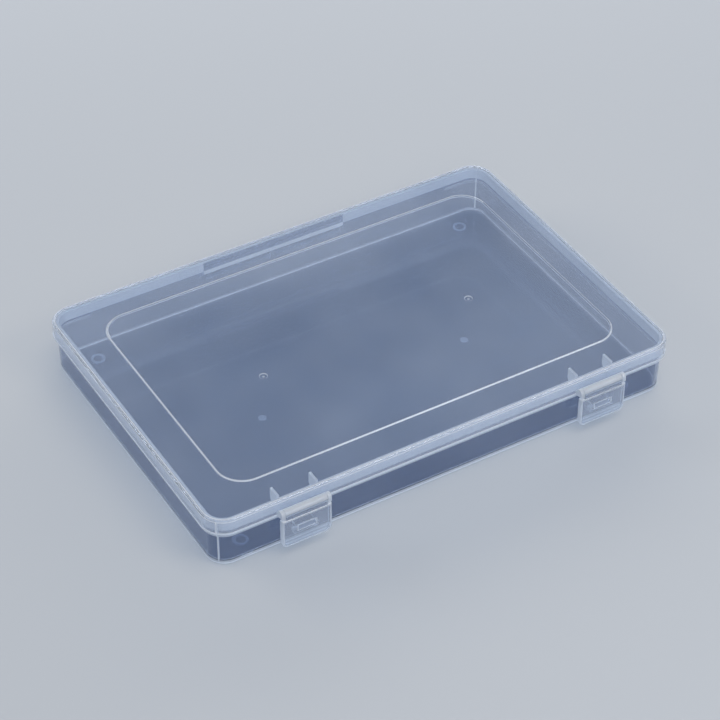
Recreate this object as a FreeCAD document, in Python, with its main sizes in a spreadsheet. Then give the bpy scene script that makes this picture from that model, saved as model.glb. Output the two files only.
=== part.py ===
import FreeCAD, Part
import os
import Sketcher
from FreeCAD import Vector

# Flat storage case of natural polypropylene: a drafted tray, a hinged lid and two snap latches.
# Millimetres. +X runs along the case, -Y is the front with the latches, +Z is up.
# The origin lies on the resting plane under the middle of the whole case.

doc = FreeCAD.newDocument("storage_case")

# Driving dimensions, one plain number each.
DIMENSIONS = {
    # Lid shell
    "lid_length": 240.0,
    "lid_width": 164.2,
    "lid_height": 8.2,
    "lid_corner": 11.0,
    "lid_wall": 1.4,
    "skirt_wall": 1.5,
    "lid_edge_round": 1.3,
    "lid_inner_round": 0.6,
    "bead_height": 1.0,
    "bead_proud": 0.25,
    # Raised panel on the lid
    "panel_inset": 17.6,
    "panel_forward": 1.05,
    "panel_corner": 13.0,
    "panel_step": 0.5,
    "panel_slope": 0.6,
    "panel_shoulder": 1.0,
    # Tray
    "base_height": 25.9,
    "base_wall": 1.4,
    "base_floor": 1.4,
    "base_edge_round": 0.5,
    "floor_round": 1.2,
    "rim_chamfer": 0.3,
    "draft": 0.7,
    "lid_gap": 0.3,
    "rim_gap": 0.2,
    # Seating ledge round the tray, just under the lid's skirt
    "ledge_proud": 1.0,
    "ledge_height": 1.8,
    "ledge_gap": 0.2,
    "ledge_return": 20.7,
    # Ring feet under the floor
    "foot_height": 0.8,
    "foot_radius": 3.5,
    "foot_hollow": 2.2,
    "foot_inset_x": 17.7,
    "foot_inset_y": 11.3,
    # Moulding gate marks
    "gate_radius": 1.8,
    "gate_nub": 0.5,
    "gate_depth": 0.3,
    "gate_spread": 54.6,
    "lid_gate_y": -8.6,
    "base_gate_y": -6.6,
    # Rear hinge
    "hinge_standoff": 0.2,
    "hinge_drop": 1.2,
    "hinge_rod_radius": 1.0,
    "hinge_clearance": 0.08,
    "hinge_length": 75.5,
    "hinge_window": 2.7,
    "hinge_lug_width": 2.4,
    "hinge_lug_wall": 0.5,
    "hinge_link_wall": 1.4,
    "hinge_rib_width": 2.5,
    "hinge_side_gap": 0.5,
    "rail_wall": 1.02,
    "rail_gusset": 1.2,
    "rail_lip_angle": 35.0,
    "rail_back_angle": 30.0,
    # Latches and the rods that they clip on
    "latch_inset": 43.0,
    "latch_width": 24.4,
    "latch_drop": 18.5,
    "latch_corner": 3.0,
    "latch_standoff": 2.6,
    "latch_rise": 2.7,
    "latch_rod_radius": 1.0,
    "latch_clearance": 0.08,
    "barrel_radius": 1.9,
    "barrel_mouth_angle": 40.0,
    "ear_width": 1.7,
    "ear_gap": 0.2,
    "plate_proud": 0.3,
    "plate_head": 2.9,
    "plate_wall": 1.3,
    "plate_chamfer": 0.4,
    "rim_width": 1.2,
    "rim_depth": 0.9,
    "slot_width": 8.5,
    "slot_height": 2.7,
    "slot_drop": 8.1,
    "hook_width": 12.3,
    "hook_height": 2.1,
    "hook_depth": 2.6,
    # Catches on the tray's front wall
    "catch_width": 9.0,
    "catch_height": 2.2,
    "catch_nose": 0.7,
    "catch_grip": 0.85,
    "catch_gap": 0.3,
    # Stop fins under the lid, behind the tray's front wall
    "fin_spread": 9.5,
    "fin_length": 6.2,
    "fin_depth": 7.5,
    "fin_corner": 3.0,
    "fin_wall": 1.2,
    "fin_gap": 0.4,
}

sheet = doc.addObject("Spreadsheet::Sheet", "dims")
for row, (alias, value) in enumerate(DIMENSIONS.items(), start=1):
    sheet.set("A%d" % row, alias)
    sheet.set("B%d" % row, str(value))
    sheet.setAlias("B%d" % row, alias)
doc.recompute()

# Places worked out from the driving dimensions, as expressions.
LID_HALF_X = "(dims.lid_length / 2)"
LID_HALF_Y = "(dims.lid_width / 2)"
RIM_Z = "(dims.foot_height + dims.base_height)"
LID_UNDER_Z = f"({RIM_Z} + dims.rim_gap)"
LID_TOP_Z = f"({LID_UNDER_Z} + dims.lid_wall)"
SKIRT_Z = f"({LID_TOP_Z} - dims.lid_height)"
BASE_HALF_X = f"({LID_HALF_X} - dims.skirt_wall - dims.lid_gap)"
BASE_HALF_Y = f"({LID_HALF_Y} - dims.skirt_wall - dims.lid_gap)"
BASE_CORNER = "(dims.lid_corner - dims.skirt_wall - dims.lid_gap)"
WALL_MIDDLE_Y = f"({BASE_HALF_Y} - dims.base_wall / 2)"
LEDGE_TOP_Z = f"({SKIRT_Z} - dims.ledge_gap)"
HINGE_Y = f"({LID_HALF_Y} + dims.hinge_standoff)"
HINGE_Z = f"({SKIRT_Z} - dims.hinge_drop)"
RAIL_BORE = "(dims.hinge_rod_radius + dims.hinge_clearance)"
RAIL_RADIUS = f"({RAIL_BORE} + dims.rail_wall)"
RAIL_SPAN = "(dims.hinge_length - 2 * dims.hinge_side_gap)"
LUG_RADIUS = "(dims.hinge_rod_radius + dims.hinge_lug_wall)"
LUG_SPAN = "(dims.hinge_length + 2 * dims.hinge_lug_width)"
LATCH_X = f"({LID_HALF_X} - dims.latch_inset)"
LATCH_Y = f"(-{LID_HALF_Y} - dims.latch_standoff)"
LATCH_Z = f"({SKIRT_Z} + dims.latch_rise)"
EAR_SPACE = "(dims.latch_width - 2 * dims.ear_width)"
BARREL_LENGTH = f"({EAR_SPACE} - 2 * dims.ear_gap)"
PLATE_FACE_Y = f"({LATCH_Y} - dims.barrel_radius - dims.plate_proud)"
PLATE_BACK_Y = f"({PLATE_FACE_Y} + dims.plate_wall)"
PLATE_TOP_Z = f"({LATCH_Z} - dims.plate_head)"
PLATE_LOW_Z = f"({LATCH_Z} - dims.latch_drop)"
SLOT_TOP_Z = f"({LATCH_Z} - dims.slot_drop)"
HOOK_TOP_Z = f"({SLOT_TOP_Z} - dims.slot_height)"
CATCH_Z = f"({HOOK_TOP_Z} + dims.catch_gap)"
CATCH_TIP_Y = f"({PLATE_BACK_Y} + dims.hook_depth - dims.catch_grip)"
FIN_FRONT_Y = f"(-{BASE_HALF_Y} + dims.base_wall + dims.fin_gap)"
FRONT_REACH = f"(-{PLATE_FACE_Y})"
REAR_REACH = f"({HINGE_Y} + {RAIL_RADIUS})"
MIDDLE_SHIFT = f"(({FRONT_REACH} - {REAR_REACH}) / 2)"


def size(expression):
    """Present value of an expression in the sheet's names."""
    return float(sheet.evalExpression(expression))


def new_body(label):
    """Empty body, moved so that the origin lies under the middle of the whole case."""
    body = doc.addObject("PartDesign::Body", label)
    body.Label = label
    body.setExpression("Placement.Base.y", MIDDLE_SHIFT)
    return body


def plane_of(body, role):
    """One of the body's own origin planes."""
    return next(item for item in body.Origin.OriginFeatures if item.Role == role)


def new_sketch(body, name, role, height="0"):
    """Sketch on an origin plane, or that far along the plane's normal."""
    sketch = body.newObject("Sketcher::SketchObject", name)
    sketch.AttachmentSupport = [(plane_of(body, role), "")]
    sketch.MapMode = "FlatFace"
    sketch.setExpression("AttachmentOffset.Base.z", height)
    return sketch


def drive(sketch, kind, *references, to):
    """Driving dimension tied to an expression."""
    index = sketch.addConstraint(Sketcher.Constraint(kind, *references, size(to)))
    sketch.setExpression("Constraints[%d]" % index, to)


def hold(sketch, geometry, point, across=None, up=None):
    """Places a point by its distances from the sketch's axes."""
    for kind, axis, place in (("DistanceX", -2, across), ("DistanceY", -1, up)):
        if place == "0":
            sketch.addConstraint(Sketcher.Constraint("PointOnObject", geometry, point, axis))
        elif place is not None:
            drive(sketch, kind, -1, 1, geometry, point, to=place)


def draw_circle(sketch, across, up, radius):
    """Circle with its centre and radius tied to expressions."""
    centre = Vector(size(across), size(up), 0)
    index = sketch.addGeometry(Part.Circle(centre, Vector(0, 0, 1), size(radius)))
    hold(sketch, index, 3, across, up)
    drive(sketch, "Radius", index, to=radius)


def draw_polygon(sketch, corners):
    """Closed run of straight lines with each corner tied to expressions."""
    first = sketch.GeometryCount
    points = [Vector(size(across), size(up), 0) for across, up in corners]
    count = len(points)
    for index in range(count):
        sketch.addGeometry(Part.LineSegment(points[index], points[(index + 1) % count]))
    for index in range(count):
        following = first + (index + 1) % count
        sketch.addConstraint(Sketcher.Constraint("Coincident", first + index, 2, following, 1))
    for index, (across, up) in enumerate(corners):
        hold(sketch, first + index, 1, across, up)


def draw_outline(sketch, corners):
    """Closed outline of level and upright lines, whose corners are sharp or arcs of a given radius."""
    count = len(corners)
    points = [Vector(size(across), size(up), 0) for across, up, radius in corners]
    radii = [size(radius) if radius else 0.0 for across, up, radius in corners]
    ahead = [(points[(i + 1) % count] - points[i]).normalize() for i in range(count)]
    lines = []
    for index in range(count):
        start = points[index] + ahead[index] * radii[index]
        following = (index + 1) % count
        end = points[following] - ahead[index] * radii[following]
        lines.append(sketch.addGeometry(Part.LineSegment(start, end)))
    for index, (across, up, radius) in enumerate(corners):
        before = lines[index - 1]
        after = lines[index]
        if not radius:
            sketch.addConstraint(Sketcher.Constraint("Coincident", before, 2, after, 1))
            continue
        begin = points[index] - ahead[index - 1] * radii[index]
        finish = points[index] + ahead[index] * radii[index]
        middle = begin + ahead[index] * radii[index]
        bulge = (points[index] - middle).normalize() * radii[index]
        arc = sketch.addGeometry(Part.Arc(begin, middle + bulge, finish))
        turns_left = ahead[index - 1].cross(ahead[index]).z > 0
        near, far = (1, 2) if turns_left else (2, 1)
        sketch.addConstraint(Sketcher.Constraint("Tangent", before, 2, arc, near))
        sketch.addConstraint(Sketcher.Constraint("Tangent", arc, far, after, 1))
        drive(sketch, "Radius", arc, to=radius)
    for index, (across, up, radius) in enumerate(corners):
        level = up == corners[(index + 1) % count][1]
        sketch.addConstraint(Sketcher.Constraint("Horizontal" if level else "Vertical", lines[index]))
        if level:
            hold(sketch, lines[index], 1, up=up)
        else:
            hold(sketch, lines[index], 1, across=across)


def rounded_rectangle(half_x, half_y, radius, forward="0"):
    """Corners of a rectangle with one radius, about the origin or that far in front of it."""
    front = f"(-{half_y} - {forward})"
    rear = f"({half_y} - {forward})"
    return [
        (f"(-{half_x})", front, radius),
        (half_x, front, radius),
        (half_x, rear, radius),
        (f"(-{half_x})", rear, radius),
    ]


def grown(half, by):
    """A half size grown by a distance."""
    return f"({half} + {by})"


def shrunk(half, by):
    """A half size shrunk by a distance."""
    return f"({half} - {by})"


def extrude(body, kind, name, sketch, length, reverse=False, both_ways=False, taper=None):
    """Pad or Pocket of a sketch, which has to change the solid's volume."""
    before = body.Tip.Shape.Volume if body.Tip else 0.0
    feature = body.newObject("PartDesign::" + kind, name)
    feature.Profile = sketch
    feature.setExpression("Length", length)
    feature.Reversed = reverse
    feature.Midplane = both_ways
    if taper:
        feature.setExpression("TaperAngle", taper)
    doc.recompute()
    change = feature.Shape.Volume - before
    if change * (1 if kind == "Pad" else -1) <= 0:
        raise RuntimeError(f"{body.Label}: {name} changed the volume by {change:.3f}")
    return feature


def pad(body, name, sketch, length, **how):
    """Adds material along the sketch's normal."""
    return extrude(body, "Pad", name, sketch, length, **how)


def pocket(body, name, sketch, length, **how):
    """Removes material against the sketch's normal."""
    return extrude(body, "Pocket", name, sketch, length, **how)


def ease_edges(body, kind, measure, name, amount, wanted):
    """Fillet or Chamfer of every edge of the present solid that the test picks."""
    base = body.Tip
    picked = [f"Edge{i}" for i, edge in enumerate(base.Shape.Edges, start=1) if wanted(edge)]
    if not picked:
        raise RuntimeError(f"{body.Label}: {name} found no edge")
    feature = body.newObject("PartDesign::" + kind, name)
    feature.Base = (base, picked)
    feature.setExpression(measure, amount)
    doc.recompute()
    return feature


def round_edges(body, name, radius, wanted):
    """Gives the picked edges a radius."""
    return ease_edges(body, "Fillet", "Radius", name, radius, wanted)


def bevel_edges(body, name, width, wanted):
    """Gives the picked edges a narrow flat, where the real radius is a few tenths."""
    return ease_edges(body, "Chamfer", "Size", name, width, wanted)


def mirror(body, name, features):
    """Repeats features on the other side of the case's middle plane."""
    mirrored = body.newObject("PartDesign::Mirrored", name)
    mirrored.Originals = features
    mirrored.MirrorPlane = (plane_of(body, "YZ_Plane"), [""])
    body.Tip = mirrored
    doc.recompute()
    return mirrored


TOLERANCE = 1e-4


def at_height(edge, height):
    """True for an edge that lies wholly at one height."""
    box = edge.BoundBox
    return abs(box.ZMin - height) < TOLERANCE and abs(box.ZMax - height) < TOLERANCE


def draw_gates(sketch, gate_y):
    """Ring round the sprue nub at each of the two gates."""
    for side in ("-1", "1"):
        gate_x = f"({side} * dims.gate_spread)"
        draw_circle(sketch, gate_x, gate_y, "dims.gate_radius")
        draw_circle(sketch, gate_x, gate_y, "dims.gate_nub")


def build_base():
    """Tray with its ledge, hinge rails, latch catches, feet and gate marks."""
    body = new_body("base_tray")

    # Drafted walls, widest at the rim.
    sketch = new_sketch(body, "rim_outline", "XY_Plane", RIM_Z)
    draw_outline(sketch, rounded_rectangle(BASE_HALF_X, BASE_HALF_Y, BASE_CORNER))
    pad(body, "walls", sketch, "dims.base_height", reverse=True, taper="-dims.draft")
    underside = size("dims.foot_height")
    round_edges(body, "bottom_round", "dims.base_edge_round", lambda edge: at_height(edge, underside))

    # Inside, with the same draft, so that the wall is even.
    sketch = new_sketch(body, "cavity_outline", "XY_Plane", RIM_Z)
    wall = "dims.base_wall"
    inner = rounded_rectangle(
        shrunk(BASE_HALF_X, wall), shrunk(BASE_HALF_Y, wall), shrunk(BASE_CORNER, wall))
    draw_outline(sketch, inner)
    pocket(body, "cavity", sketch, "dims.base_height - dims.base_floor", taper="-dims.draft")
    floor = size("dims.foot_height + dims.base_floor")
    round_edges(body, "floor_corner", "dims.floor_round", lambda edge: at_height(edge, floor))
    rim = size(RIM_Z)
    bevel_edges(body, "rim_edges", "dims.rim_chamfer", lambda edge: at_height(edge, rim))

    # Ledge along the front and sides and round the back corners.
    out_x = grown(BASE_HALF_X, "dims.ledge_proud")
    out_y = grown(BASE_HALF_Y, "dims.ledge_proud")
    out_corner = grown(BASE_CORNER, "dims.ledge_proud")
    root_x = shrunk(BASE_HALF_X, "dims.base_wall / 2")
    root_corner = shrunk(BASE_CORNER, "dims.base_wall / 2")
    end = shrunk(BASE_HALF_X, "dims.ledge_return")
    sketch = new_sketch(body, "ledge_outline", "XY_Plane", LEDGE_TOP_Z)
    draw_outline(sketch, [
        (f"(-{end})", out_y, None),
        (f"(-{out_x})", out_y, out_corner),
        (f"(-{out_x})", f"(-{out_y})", out_corner),
        (out_x, f"(-{out_y})", out_corner),
        (out_x, out_y, out_corner),
        (end, out_y, None),
        (end, WALL_MIDDLE_Y, None),
        (root_x, WALL_MIDDLE_Y, root_corner),
        (root_x, f"(-{WALL_MIDDLE_Y})", root_corner),
        (f"(-{root_x})", f"(-{WALL_MIDDLE_Y})", root_corner),
        (f"(-{root_x})", WALL_MIDDLE_Y, root_corner),
        (f"(-{end})", WALL_MIDDLE_Y, None),
    ])
    pad(body, "ledge", sketch, "dims.ledge_height", reverse=True)

    # Hinge rails: a round bar on a gusset, bored for the lid's rod and opened upwards to a snap mouth.
    sketch = new_sketch(body, "rail_section", "YZ_Plane")
    draw_circle(sketch, HINGE_Y, HINGE_Z, RAIL_RADIUS)
    pad(body, "rail_bar", sketch, RAIL_SPAN, both_ways=True)
    sketch = new_sketch(body, "rail_gusset_section", "YZ_Plane")
    draw_polygon(sketch, [
        (WALL_MIDDLE_Y, f"({HINGE_Z} - {RAIL_RADIUS} - dims.rail_gusset)"),
        (HINGE_Y, f"({HINGE_Z} - {RAIL_RADIUS})"),
        (HINGE_Y, HINGE_Z),
        (WALL_MIDDLE_Y, HINGE_Z),
    ])
    pad(body, "rail_gusset", sketch, RAIL_SPAN, both_ways=True)
    sketch = new_sketch(body, "rail_bore_section", "YZ_Plane")
    draw_circle(sketch, HINGE_Y, HINGE_Z, RAIL_BORE)
    pocket(body, "rail_bore", sketch, RAIL_SPAN, both_ways=True)
    reach = f"(2 * {RAIL_RADIUS})"
    back = f"({HINGE_Y} - {BASE_HALF_Y})"
    sketch = new_sketch(body, "rail_mouth_section", "YZ_Plane")
    draw_polygon(sketch, [
        (HINGE_Y, HINGE_Z),
        (f"({HINGE_Y} + {reach})", f"({HINGE_Z} + {reach} * tan(dims.rail_lip_angle))"),
        (f"({HINGE_Y} + {reach})", f"({HINGE_Z} + 2 * {reach})"),
        (BASE_HALF_Y, f"({HINGE_Z} + 2 * {reach})"),
        (BASE_HALF_Y, f"({HINGE_Z} + {back} * tan(dims.rail_back_angle))"),
    ])
    pocket(body, "rail_mouth", sketch, RAIL_SPAN, both_ways=True)

    # Gap between the two rails for the rib in the middle of the rod.
    sketch = new_sketch(body, "rail_gap_section", "YZ_Plane")
    draw_polygon(sketch, [
        (BASE_HALF_Y, f"({HINGE_Z} - {reach})"),
        (f"({HINGE_Y} + {reach})", f"({HINGE_Z} - {reach})"),
        (f"({HINGE_Y} + {reach})", f"({HINGE_Z} + {reach})"),
        (BASE_HALF_Y, f"({HINGE_Z} + {reach})"),
    ])
    pocket(body, "rail_gap", sketch, "dims.hinge_rib_width + 2 * dims.hinge_side_gap", both_ways=True)

    # Catches with a flat underside for the hook and a sloping top.
    sketch = new_sketch(body, "catch_section", "YZ_Plane", LATCH_X)
    draw_polygon(sketch, [
        (f"(-{WALL_MIDDLE_Y})", CATCH_Z),
        (CATCH_TIP_Y, CATCH_Z),
        (CATCH_TIP_Y, f"({CATCH_Z} + dims.catch_nose)"),
        (f"(-{WALL_MIDDLE_Y})", f"({CATCH_Z} + dims.catch_height)"),
    ])
    catch = pad(body, "catch", sketch, "dims.catch_width", both_ways=True)
    mirror(body, "catches", [catch])

    # Feet: four rings that keep the gates off the table.
    foot_x = shrunk(BASE_HALF_X, "dims.foot_inset_x")
    foot_y = shrunk(BASE_HALF_Y, "dims.foot_inset_y")
    sketch = new_sketch(body, "foot_rings", "XY_Plane", "dims.foot_height")
    for side_x in ("-1", "1"):
        for side_y in ("-1", "1"):
            for radius in ("dims.foot_radius", "dims.foot_hollow"):
                draw_circle(sketch, f"({side_x} * {foot_x})", f"({side_y} * {foot_y})", radius)
    pad(body, "feet", sketch, "dims.foot_height", reverse=True)

    sketch = new_sketch(body, "gate_rings", "XY_Plane", "dims.foot_height")
    draw_gates(sketch, "dims.base_gate_y")
    pocket(body, "gates", sketch, "dims.gate_depth", reverse=True)
    return body


def build_lid():
    """Cover with its panel, hinge rod, latch rods, fins and gate marks."""
    body = new_body("lid")

    # Outer block with a rounded top edge and a bead along the lower edge, hollowed from below.
    sketch = new_sketch(body, "lid_outline", "XY_Plane", SKIRT_Z)
    draw_outline(sketch, rounded_rectangle(LID_HALF_X, LID_HALF_Y, "dims.lid_corner"))
    pad(body, "block", sketch, "dims.lid_height")
    top = size(LID_TOP_Z)
    round_edges(body, "top_round", "dims.lid_edge_round", lambda edge: at_height(edge, top))
    proud = "dims.bead_proud"
    sketch = new_sketch(body, "bead_outline", "XY_Plane", SKIRT_Z)
    draw_outline(sketch, rounded_rectangle(
        grown(LID_HALF_X, proud), grown(LID_HALF_Y, proud), grown("dims.lid_corner", proud)))
    pad(body, "bead", sketch, "dims.bead_height")
    skirt = "dims.skirt_wall"
    sketch = new_sketch(body, "hollow_outline", "XY_Plane", SKIRT_Z)
    draw_outline(sketch, rounded_rectangle(
        shrunk(LID_HALF_X, skirt), shrunk(LID_HALF_Y, skirt), shrunk("dims.lid_corner", skirt)))
    pocket(body, "hollow", sketch, "dims.lid_height - dims.lid_wall", reverse=True)
    under = size(LID_UNDER_Z)
    round_edges(body, "inner_round", "dims.lid_inner_round", lambda edge: at_height(edge, under))

    # Raised panel with a sloping edge, a little forward of the middle. The underside follows it,
    # so that the wall is even.
    panel_x = shrunk(LID_HALF_X, "dims.panel_inset")
    panel_y = shrunk(LID_HALF_Y, "dims.panel_inset")
    forward = "dims.panel_forward"
    shoulder = "dims.panel_shoulder"
    sketch = new_sketch(body, "panel_outline", "XY_Plane", LID_TOP_Z)
    draw_outline(sketch, rounded_rectangle(panel_x, panel_y, "dims.panel_corner", forward))
    lean = "atan(dims.panel_slope / dims.panel_step)"
    pad(body, "panel", sketch, "dims.panel_step", taper=f"-{lean}")
    sketch = new_sketch(body, "panel_recess_outline", "XY_Plane", LID_UNDER_Z)
    recess_corner = shrunk("dims.panel_corner", shoulder)
    draw_outline(sketch, rounded_rectangle(
        shrunk(panel_x, shoulder), shrunk(panel_y, shoulder), recess_corner, forward))
    pocket(body, "panel_recess", sketch, "dims.panel_step", reverse=True)

    # Hinge lugs, cut back to the two ends by the window for the rails, then the rib and the rod.
    skirt_middle = f"({LID_HALF_Y} - dims.skirt_wall / 2)"
    window_z = f"({SKIRT_Z} + dims.hinge_window)"
    drop_link = [
        (skirt_middle, window_z),
        (LID_HALF_Y, window_z),
        (f"({HINGE_Y} + dims.hinge_link_wall / 2)", HINGE_Z),
        (f"({HINGE_Y} - dims.hinge_link_wall / 2)", HINGE_Z),
        (skirt_middle, SKIRT_Z),
    ]
    sketch = new_sketch(body, "lug_section", "YZ_Plane")
    draw_polygon(sketch, drop_link)
    pad(body, "lug_links", sketch, LUG_SPAN, both_ways=True)
    sketch = new_sketch(body, "lug_eye_section", "YZ_Plane")
    draw_circle(sketch, HINGE_Y, HINGE_Z, LUG_RADIUS)
    pad(body, "lug_eyes", sketch, LUG_SPAN, both_ways=True)
    sketch = new_sketch(body, "window_section", "YZ_Plane")
    window_low = f"({HINGE_Z} - 2 * {LUG_RADIUS})"
    window_out = f"({HINGE_Y} + 2 * {LUG_RADIUS})"
    draw_polygon(sketch, [
        (f"({LID_HALF_Y} - 2 * dims.skirt_wall)", window_low),
        (window_out, window_low),
        (window_out, window_z),
        (f"({LID_HALF_Y} - 2 * dims.skirt_wall)", window_z),
    ])
    pocket(body, "window", sketch, "dims.hinge_length", both_ways=True)
    sketch = new_sketch(body, "rib_section", "YZ_Plane")
    rib_root = f"({window_z} + dims.skirt_wall)"
    draw_polygon(sketch, [(skirt_middle, rib_root), (LID_HALF_Y, rib_root)] + drop_link[1:])
    pad(body, "rod_rib", sketch, "dims.hinge_rib_width", both_ways=True)
    sketch = new_sketch(body, "hinge_rod_section", "YZ_Plane")
    draw_circle(sketch, HINGE_Y, HINGE_Z, "dims.hinge_rod_radius")
    pad(body, "hinge_rod", sketch, "dims.hinge_length + dims.hinge_lug_width", both_ways=True)

    # Ears and rod for one latch. The ears start as one block, cut open between them for the barrel.
    # They are flush with the barrel in front, and behind it they slope down to the skirt.
    front_middle = f"(-{skirt_middle})"
    ear_front = f"({LATCH_Y} - dims.barrel_radius)"
    ear_low = f"({LATCH_Z} - dims.barrel_radius)"
    sketch = new_sketch(body, "ear_disc_section", "YZ_Plane", LATCH_X)
    draw_circle(sketch, LATCH_Y, LATCH_Z, "dims.barrel_radius")
    discs = pad(body, "ear_discs", sketch, "dims.latch_width", both_ways=True)
    sketch = new_sketch(body, "ear_web_section", "YZ_Plane", LATCH_X)
    draw_polygon(sketch, [
        (LATCH_Y, f"({LATCH_Z} + dims.barrel_radius)"),
        (LATCH_Y, LATCH_Z),
        (ear_front, LATCH_Z),
        (ear_front, ear_low),
        (LATCH_Y, ear_low),
        (f"(-{LID_HALF_Y})", SKIRT_Z),
        (front_middle, SKIRT_Z),
        (front_middle, LATCH_Z),
        (f"(-{LID_HALF_Y})", LATCH_Z),
    ])
    webs = pad(body, "ear_webs", sketch, "dims.latch_width", both_ways=True)
    sketch = new_sketch(body, "ear_space_section", "YZ_Plane", LATCH_X)
    room = "(2 * dims.barrel_radius)"
    draw_polygon(sketch, [
        (f"({LATCH_Y} - {room})", f"({LATCH_Z} - {room})"),
        (f"(-{LID_HALF_Y})", f"({LATCH_Z} - {room})"),
        (f"(-{LID_HALF_Y})", f"({LATCH_Z} + {room})"),
        (f"({LATCH_Y} - {room})", f"({LATCH_Z} + {room})"),
    ])
    space = pocket(body, "ear_space", sketch, EAR_SPACE, both_ways=True)
    sketch = new_sketch(body, "latch_rod_section", "YZ_Plane", LATCH_X)
    draw_circle(sketch, LATCH_Y, LATCH_Z, "dims.latch_rod_radius")
    rod = pad(body, "latch_rod", sketch, f"{EAR_SPACE} + dims.ear_width", both_ways=True)
    mirror(body, "latch_seats", [discs, webs, space, rod])

    # Fins that drop behind the tray's front wall and stop it bowing inwards at the latches.
    fins = []
    for name, side in (("inner", "-1"), ("outer", "1")):
        place = f"({LATCH_X} + {side} * dims.fin_spread)"
        sketch = new_sketch(body, f"{name}_fin_section", "YZ_Plane", place)
        root_z = f"({LID_UNDER_Z} + dims.lid_wall / 2)"
        tip_z = f"({LID_UNDER_Z} - dims.fin_depth)"
        fin_back = f"({FIN_FRONT_Y} + dims.fin_length)"
        draw_outline(sketch, [
            (FIN_FRONT_Y, root_z, None),
            (FIN_FRONT_Y, tip_z, None),
            (fin_back, tip_z, "dims.fin_corner"),
            (fin_back, root_z, None),
        ])
        fins.append(pad(body, f"{name}_fin", sketch, "dims.fin_wall", both_ways=True))
    mirror(body, "fins", fins)

    sketch = new_sketch(body, "gate_rings", "XY_Plane", f"({LID_TOP_Z} + dims.panel_step)")
    draw_gates(sketch, "dims.lid_gate_y")
    pocket(body, "gates", sketch, "dims.gate_depth")
    return body


def build_latch(label, side):
    """Snap latch: C-shaped barrel, plate with a rim on three sides, hook rib and slot."""
    body = new_body(label)
    body.setExpression("Placement.Base.x", f"{side} * {LATCH_X}")

    sketch = new_sketch(body, "barrel_section", "YZ_Plane")
    draw_circle(sketch, LATCH_Y, LATCH_Z, "dims.barrel_radius")
    pad(body, "barrel", sketch, BARREL_LENGTH, both_ways=True)

    # Plate as deep as its rim, with rounded lower corners.
    face = f"(-{PLATE_FACE_Y})"
    back = f"(-{PLATE_BACK_Y})"
    half = "(dims.latch_width / 2)"
    sketch = new_sketch(body, "plate_outline", "XZ_Plane", face)
    draw_outline(sketch, [
        (f"(-{half})", PLATE_LOW_Z, "dims.latch_corner"),
        (half, PLATE_LOW_Z, "dims.latch_corner"),
        (half, PLATE_TOP_Z, None),
        (f"(-{half})", PLATE_TOP_Z, None),
    ])
    pad(body, "plate", sketch, "dims.plate_wall + dims.rim_depth", reverse=True)
    front = size(PLATE_FACE_Y)
    bevel_edges(body, "plate_edges", "dims.plate_chamfer", lambda edge: on_front(edge, front))

    # Hollow back, open at the top.
    inside = shrunk(half, "dims.rim_width")
    floor = f"({PLATE_LOW_Z} + dims.rim_width)"
    inside_corner = "(dims.latch_corner - dims.rim_width)"
    sketch = new_sketch(body, "back_outline", "XZ_Plane", back)
    draw_outline(sketch, [
        (f"(-{inside})", floor, inside_corner),
        (inside, floor, inside_corner),
        (inside, PLATE_TOP_Z, None),
        (f"(-{inside})", PLATE_TOP_Z, None),
    ])
    pocket(body, "back_hollow", sketch, "dims.rim_depth")

    # Neck from the plate up to the barrel, set back so that the plate's top edge stands proud.
    neck = f"({BARREL_LENGTH} / 2)"
    neck_foot = f"({PLATE_TOP_Z} - dims.plate_wall)"
    sketch = new_sketch(body, "neck_outline", "XZ_Plane", f"({face} - dims.plate_proud)")
    draw_outline(sketch, [
        (f"(-{neck})", neck_foot, None),
        (neck, neck_foot, None),
        (neck, LATCH_Z, None),
        (f"(-{neck})", LATCH_Z, None),
    ])
    pad(body, "neck", sketch, "dims.plate_wall", reverse=True)

    # Hook rib, which lies under the tray's catch, and the slot above it.
    hook = "(dims.hook_width / 2)"
    hook_low = f"({HOOK_TOP_Z} - dims.hook_height)"
    sketch = new_sketch(body, "hook_outline", "XZ_Plane", back)
    draw_outline(sketch, [
        (f"(-{hook})", hook_low, None),
        (hook, hook_low, None),
        (hook, HOOK_TOP_Z, None),
        (f"(-{hook})", HOOK_TOP_Z, None),
    ])
    pad(body, "hook", sketch, "dims.hook_depth", reverse=True)
    slot = "(dims.slot_width / 2)"
    sketch = new_sketch(body, "slot_outline", "XZ_Plane", face)
    draw_outline(sketch, [
        (f"(-{slot})", HOOK_TOP_Z, None),
        (slot, HOOK_TOP_Z, None),
        (slot, SLOT_TOP_Z, None),
        (f"(-{slot})", SLOT_TOP_Z, None),
    ])
    pocket(body, "slot", sketch, "dims.plate_wall")

    # Bore for the rod and the mouth that snaps over it, facing the lid.
    sketch = new_sketch(body, "bore_section", "YZ_Plane")
    draw_circle(sketch, LATCH_Y, LATCH_Z, "(dims.latch_rod_radius + dims.latch_clearance)")
    pocket(body, "bore", sketch, BARREL_LENGTH, both_ways=True)
    reach = "(2 * dims.barrel_radius)"
    rise = f"({reach} * tan(dims.barrel_mouth_angle))"
    sketch = new_sketch(body, "mouth_section", "YZ_Plane")
    draw_polygon(sketch, [
        (LATCH_Y, LATCH_Z),
        (f"({LATCH_Y} + {reach})", f"({LATCH_Z} - {rise})"),
        (f"({LATCH_Y} + {reach})", f"({LATCH_Z} + {rise})"),
    ])
    pocket(body, "mouth", sketch, BARREL_LENGTH, both_ways=True)
    return body


def on_front(edge, front):
    """True for an edge of the plate's outer face."""
    box = edge.BoundBox
    return abs(box.YMin - front) < TOLERANCE and abs(box.YMax - front) < TOLERANCE


bodies = [
    build_base(),
    build_lid(),
    build_latch("latch_left", "-1"),
    build_latch("latch_right", "1"),
]
doc.recompute()

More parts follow.
